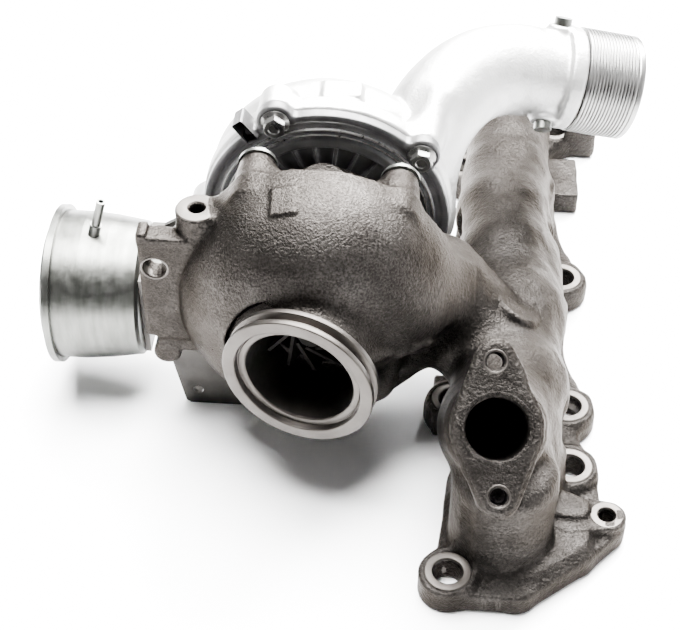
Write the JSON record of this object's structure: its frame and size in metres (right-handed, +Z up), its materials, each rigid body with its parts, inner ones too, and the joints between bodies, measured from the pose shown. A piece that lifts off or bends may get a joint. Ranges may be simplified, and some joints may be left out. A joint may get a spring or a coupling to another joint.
{
  "type": "turbocharger",
  "caption": "Variable-nozzle turbocharger with cast-in exhaust manifold, vacuum actuator, compressor elbow and ribbed outlet sleeve.",
  "frame": {"origin": "manifold head face, midway between cylinders 2 and 3 and between the stud rows", "axes": "+Z up from the head face, +Y along the manifold towards the compressor end, +X away from the turbocharger"},
  "size_m": [0.274, 0.3739, 0.1423],
  "materials": {
    "cast_iron": "sand cast",
    "cast_aluminium": "die cast",
    "machined_aluminium": "machined",
    "plate_dark": "dark cast",
    "zinc_steel": "satin zinc plated",
    "steel": "machined",
    "dark_steel": "dull phosphate",
    "bolt_black": "black oxide",
    "wheel_alloy": "cast nickel alloy",
    "bronze": "bearing bronze",
    "rubber_black": "matte"
  },
  "bodies": {
    "housing": {"actuator_bracket": "dark_steel", "backplate_bolts": "bolt_black", "backplate_o_ring": "rubber_black", "bearing_spacer": "steel", "can_nuts": "zinc_steel", "centre_housing": "cast_iron", "compressor_backplate": "plate_dark", "compressor_housing": "cast_aluminium", "crank_bush": "bronze", "diaphragm": "rubber_black", "elbow_screws": "zinc_steel", "foot_bolt": "dark_steel", "foot_bracket": "dark_steel", "heat_shield": "steel", "nozzle_cover_plate": "steel", "nozzle_ring": "steel", "nozzle_spacers": "steel", "outlet_sleeve": "machined_aluminium", "piston_ring_compressor": "steel", "piston_ring_turbine": "steel", "return_spring": "steel", "rod_bush": "bronze", "thrust_bearing": "bronze", "turbine_clamp_washers": "zinc_steel", "turbine_housing_bolts": "zinc_steel", "turbine_housing_manifold": "cast_iron", "unison_guide_pins": "steel", "vacuum_can": "zinc_steel", "vacuum_can_cover": "zinc_steel", "vacuum_nipple": "zinc_steel"},
    "rotor": {"turbine_wheel_and_shaft": "wheel_alloy", "compressor_wheel": "machined_aluminium", "shaft_nut": "steel", "thrust_collar": "steel", "oil_slinger": "steel"},
    "bearing_t": {"journal_bearing_turbine": "bronze"},
    "bearing_c": {"journal_bearing_compressor": "bronze"},
    "crank": {"drive_crank": "steel"},
    "unison": {"unison_ring": "steel"},
    "rod": {"actuator_rod": "steel", "diaphragm_plate": "steel"},
    "vane_01": {"vane_01": "steel"},
    "vane_02": {"vane_02": "steel"},
    "vane_03": {"vane_03": "steel"},
    "vane_04": {"vane_04": "steel"},
    "vane_05": {"vane_05": "steel"},
    "vane_06": {"vane_06": "steel"},
    "vane_07": {"vane_07": "steel"},
    "vane_08": {"vane_08": "steel"},
    "vane_09": {"vane_09": "steel"},
    "vane_10": {"vane_10": "steel"}
  },
  "joints": [
    {"name": "rotor_spin", "type": "hinge", "parent": "housing", "child": "rotor", "pos_m": [-0.09, -0.06, 0.08], "axis": [0, 1, 0], "continuous": true},
    {"name": "journal_bearing_turbine_spin", "type": "hinge", "parent": "housing", "child": "bearing_t", "pos_m": [-0.09, -0.073, 0.08], "axis": [0, 1, 0], "continuous": true},
    {"name": "journal_bearing_compressor_spin", "type": "hinge", "parent": "housing", "child": "bearing_c", "pos_m": [-0.09, -0.053, 0.08], "axis": [0, 1, 0], "continuous": true},
    {"name": "crank_turn", "type": "hinge", "parent": "housing", "child": "crank", "pos_m": [-0.11568, -0.062, 0.07166], "axis": [0, 1, 0], "range_deg": [-12, 12]},
    {"name": "unison_ring_turn", "type": "hinge", "parent": "housing", "child": "unison", "pos_m": [-0.09, -0.0823, 0.08], "axis": [0, 1, 0], "range_deg": [-3.05, 3.05]},
    {"name": "rod_slide", "type": "slide", "parent": "housing", "child": "rod", "axis": [1, 0, 0], "range_m": [-0.005, 0.005], "deforming": ["return_spring"]},
    {"name": "vane_01_turn", "type": "hinge", "parent": "housing", "child": "vane_01", "pos_m": [-0.063, -0.088, 0.08], "axis": [0, 1, 0], "range_deg": [-12.1, 12.1]},
    {"name": "vane_02_turn", "type": "hinge", "parent": "housing", "child": "vane_02", "pos_m": [-0.06816, -0.088, 0.09587], "axis": [0, 1, 0], "range_deg": [-12.1, 12.1]},
    {"name": "vane_03_turn", "type": "hinge", "parent": "housing", "child": "vane_03", "pos_m": [-0.08166, -0.088, 0.10568], "axis": [0, 1, 0], "range_deg": [-12.1, 12.1]},
    {"name": "vane_04_turn", "type": "hinge", "parent": "housing", "child": "vane_04", "pos_m": [-0.09834, -0.088, 0.10568], "axis": [0, 1, 0], "range_deg": [-12.1, 12.1]},
    {"name": "vane_05_turn", "type": "hinge", "parent": "housing", "child": "vane_05", "pos_m": [-0.11184, -0.088, 0.09587], "axis": [0, 1, 0], "range_deg": [-12.1, 12.1]},
    {"name": "vane_06_turn", "type": "hinge", "parent": "housing", "child": "vane_06", "pos_m": [-0.117, -0.088, 0.08], "axis": [0, 1, 0], "range_deg": [-12.1, 12.1]},
    {"name": "vane_07_turn", "type": "hinge", "parent": "housing", "child": "vane_07", "pos_m": [-0.11184, -0.088, 0.06413], "axis": [0, 1, 0], "range_deg": [-12.1, 12.1]},
    {"name": "vane_08_turn", "type": "hinge", "parent": "housing", "child": "vane_08", "pos_m": [-0.09834, -0.088, 0.05432], "axis": [0, 1, 0], "range_deg": [-12.1, 12.1]},
    {"name": "vane_09_turn", "type": "hinge", "parent": "housing", "child": "vane_09", "pos_m": [-0.08166, -0.088, 0.05432], "axis": [0, 1, 0], "range_deg": [-12.1, 12.1]},
    {"name": "vane_10_turn", "type": "hinge", "parent": "housing", "child": "vane_10", "pos_m": [-0.06816, -0.088, 0.06413], "axis": [0, 1, 0], "range_deg": [-12.1, 12.1]}
  ],
  "couplings": [
    {"joint": "unison_ring_turn", "follows": "crank_turn", "ratio": 0.25},
    {"joint": "rod_slide", "follows": "crank_turn", "m_per_rad": -0.02316},
    {"joint": "vane_01_turn", "follows": "crank_turn", "ratio": 1},
    {"joint": "vane_02_turn", "follows": "crank_turn", "ratio": 1},
    {"joint": "vane_03_turn", "follows": "crank_turn", "ratio": 1},
    {"joint": "vane_04_turn", "follows": "crank_turn", "ratio": 1},
    {"joint": "vane_05_turn", "follows": "crank_turn", "ratio": 1},
    {"joint": "vane_06_turn", "follows": "crank_turn", "ratio": 1},
    {"joint": "vane_07_turn", "follows": "crank_turn", "ratio": 1},
    {"joint": "vane_08_turn", "follows": "crank_turn", "ratio": 1},
    {"joint": "vane_09_turn", "follows": "crank_turn", "ratio": 1},
    {"joint": "vane_10_turn", "follows": "crank_turn", "ratio": 1}
  ]
}
